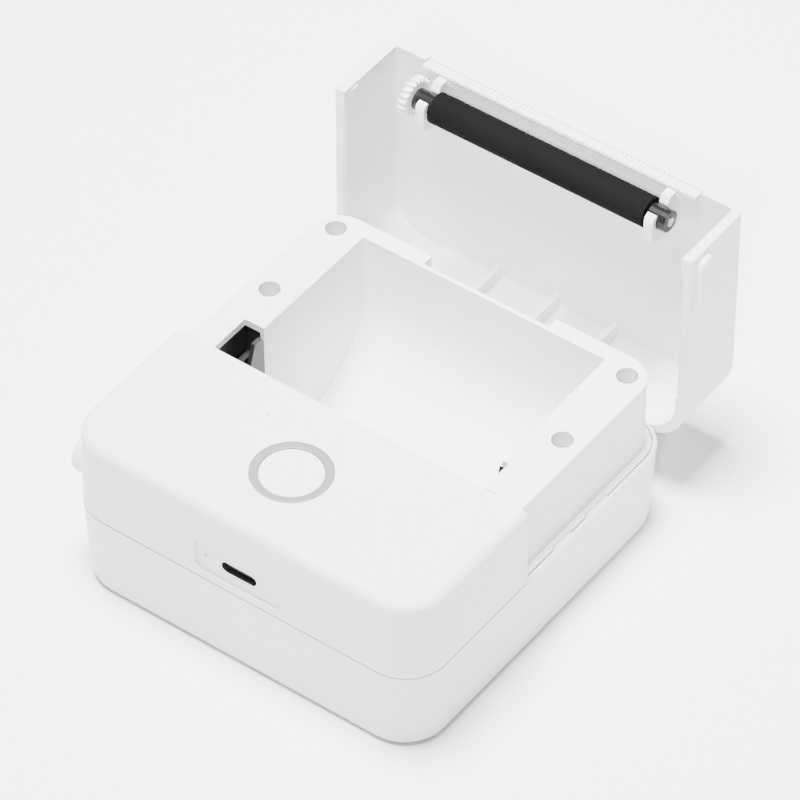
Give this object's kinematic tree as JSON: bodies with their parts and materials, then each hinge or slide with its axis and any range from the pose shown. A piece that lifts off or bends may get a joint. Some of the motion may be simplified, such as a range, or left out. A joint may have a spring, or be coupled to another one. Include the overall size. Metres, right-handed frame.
{
  "type": "receipt printer",
  "caption": "Small rounded desktop receipt printer with its lid swung open, showing the curved paper bay, the platen roller on the lid, a serrated tear strip and a round power button.",
  "frame": {"origin": "centre of the base's underside", "axes": "+Y to the rear, where the open lid stands; -Z out of the underside; +X to the printer's right"},
  "size_m": [0.0874, 0.1062, 0.0635],
  "materials": {
    "white_plastic": "satin",
    "grey_plastic": "satin",
    "black_plastic": "satin",
    "rubber": "matte",
    "steel": "satin",
    "gear_plastic": "satin",
    "board": "satin",
    "ceramic": "gloss",
    "cell_wrap": "satin",
    "lens": "gloss",
    "label": "matte",
    "aluminium": "satin"
  },
  "bodies": {
    "base": {"lower_shell": "white_plastic", "front_shell": "white_plastic", "inner_frame": "white_plastic", "button_ring": "grey_plastic", "mechanism_frame": "black_plastic", "usb_port_tongue": "black_plastic", "power_switch": "black_plastic", "processor_chip": "black_plastic", "battery_lead": "black_plastic", "paper_sensor": "black_plastic", "hinge_pin": "steel", "output_gear_pin": "steel", "usb_port_shell": "steel", "case_screw_1": "steel", "case_screw_2": "steel", "case_screw_3": "steel", "case_screw_4": "steel", "board_screw_1": "steel", "board_screw_2": "steel", "head_spring_1": "steel", "head_spring_2": "steel", "release_spring": "steel", "main_board": "board", "battery": "cell_wrap", "status_light_pipe": "lens", "status_led": "lens", "rating_label": "label", "printer_connector": "label", "feed_motor": "aluminium"},
    "lid": {"lid_shell": "white_plastic", "tear_bar": "white_plastic", "platen_bush_left": "black_plastic", "platen_bush_right": "black_plastic"},
    "platen": {"platen_shaft": "steel", "platen_rubber": "rubber", "platen_gear": "gear_plastic"},
    "power": {"power_button": "white_plastic"},
    "release": {"release_button": "white_plastic", "release_slide": "black_plastic"},
    "head": {"head_heatsink": "aluminium", "print_head": "ceramic"},
    "pinion": {"motor_pinion": "gear_plastic"},
    "compound": {"compound_gear": "gear_plastic"},
    "output": {"output_gear": "gear_plastic"}
  },
  "joints": [
    {"name": "lid_hinge", "type": "hinge", "parent": "base", "child": "lid", "pos_m": [0, 0.0406, 0.0158], "axis": [-1, 0, 0], "range_deg": [-90, 0]},
    {"name": "platen_spin", "type": "hinge", "parent": "lid", "child": "platen", "pos_m": [0, 0.0558, 0.05912], "axis": [1, 0, 0], "continuous": true},
    {"name": "power_press", "type": "slide", "parent": "base", "child": "power", "axis": [0, 0, -1], "range_m": [0, 0.0005], "stiffness_N_per_m": 800, "springref_m": -0.0005},
    {"name": "release_press", "type": "slide", "parent": "base", "child": "release", "axis": [1, 0, 0], "range_m": [0, 0.0014], "stiffness_N_per_m": 500, "springref_m": -0.001, "deforming": ["release_spring"]},
    {"name": "head_rock", "type": "hinge", "parent": "base", "child": "head", "pos_m": [0, -0.008, 0.0186], "axis": [1, 0, 0], "range_deg": [0, 1.5], "stiffness_Nm_per_rad": 2, "springref_deg": -1.15},
    {"name": "compound_spin", "type": "hinge", "parent": "base", "child": "compound", "pos_m": [0, -0.01086, 0.01991], "axis": [1, 0, 0], "continuous": true},
    {"name": "pinion_spin", "type": "hinge", "parent": "base", "child": "pinion", "pos_m": [0, -0.0155, 0.026], "axis": [1, 0, 0], "continuous": true},
    {"name": "output_spin", "type": "hinge", "parent": "base", "child": "output", "pos_m": [0, -0.00683, 0.02388], "axis": [1, 0, 0], "continuous": true}
  ],
  "couplings": [
    {"joint": "pinion_spin", "follows": "compound_spin", "ratio": -2.8},
    {"joint": "output_spin", "follows": "compound_spin", "ratio": -0.75}
  ]
}
